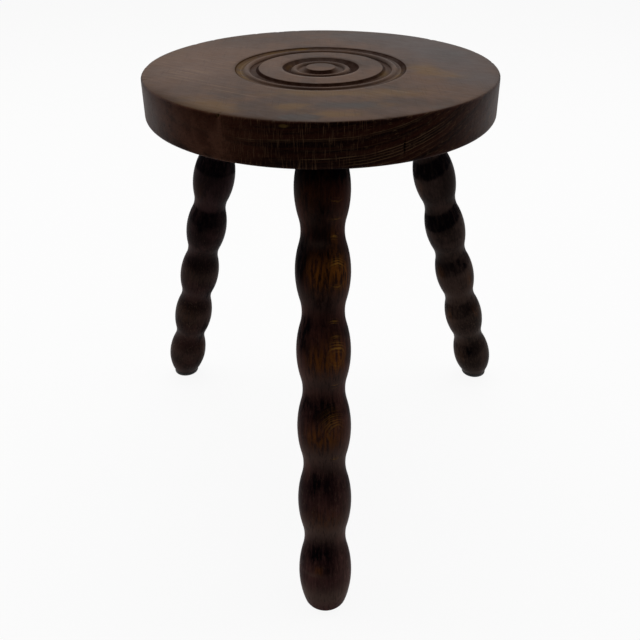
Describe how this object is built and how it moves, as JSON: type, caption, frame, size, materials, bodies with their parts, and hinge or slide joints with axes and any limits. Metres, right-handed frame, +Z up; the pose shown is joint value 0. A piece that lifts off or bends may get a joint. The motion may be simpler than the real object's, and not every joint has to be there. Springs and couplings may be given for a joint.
{
  "type": "tripod stool",
  "caption": "Low wooden stool: a round slab seat with turned rings on its top, carried by splayed bobbin-turned legs that are wedged into blind sockets and stand on nailed glides.",
  "frame": {"origin": "on the floor, in the middle of the stool's footprint", "axes": "+Z up, out of the seat's top face; -Y towards the front leg; +X to the right as the picture shows it"},
  "size_m": [0.3883, 0.3833, 0.401],
  "materials": {
    "seat_oak": "dark-stained oak, worn and waxed",
    "leg_oak": "dark-stained oak, satin wax",
    "wedge_oak": "bare oak",
    "glide": "grey, matt, scuffed",
    "nail": "plain steel"
  },
  "bodies": {
    "root": {"seat": "seat_oak", "leg_front": "leg_oak", "tenon_wedge_front": "wedge_oak", "glide_front": "glide", "glide_nail_front": "nail", "leg_left": "leg_oak", "tenon_wedge_left": "wedge_oak", "glide_left": "glide", "glide_nail_left": "nail", "leg_right": "leg_oak", "tenon_wedge_right": "wedge_oak", "glide_right": "glide", "glide_nail_right": "nail"}
  },
  "joints": []
}
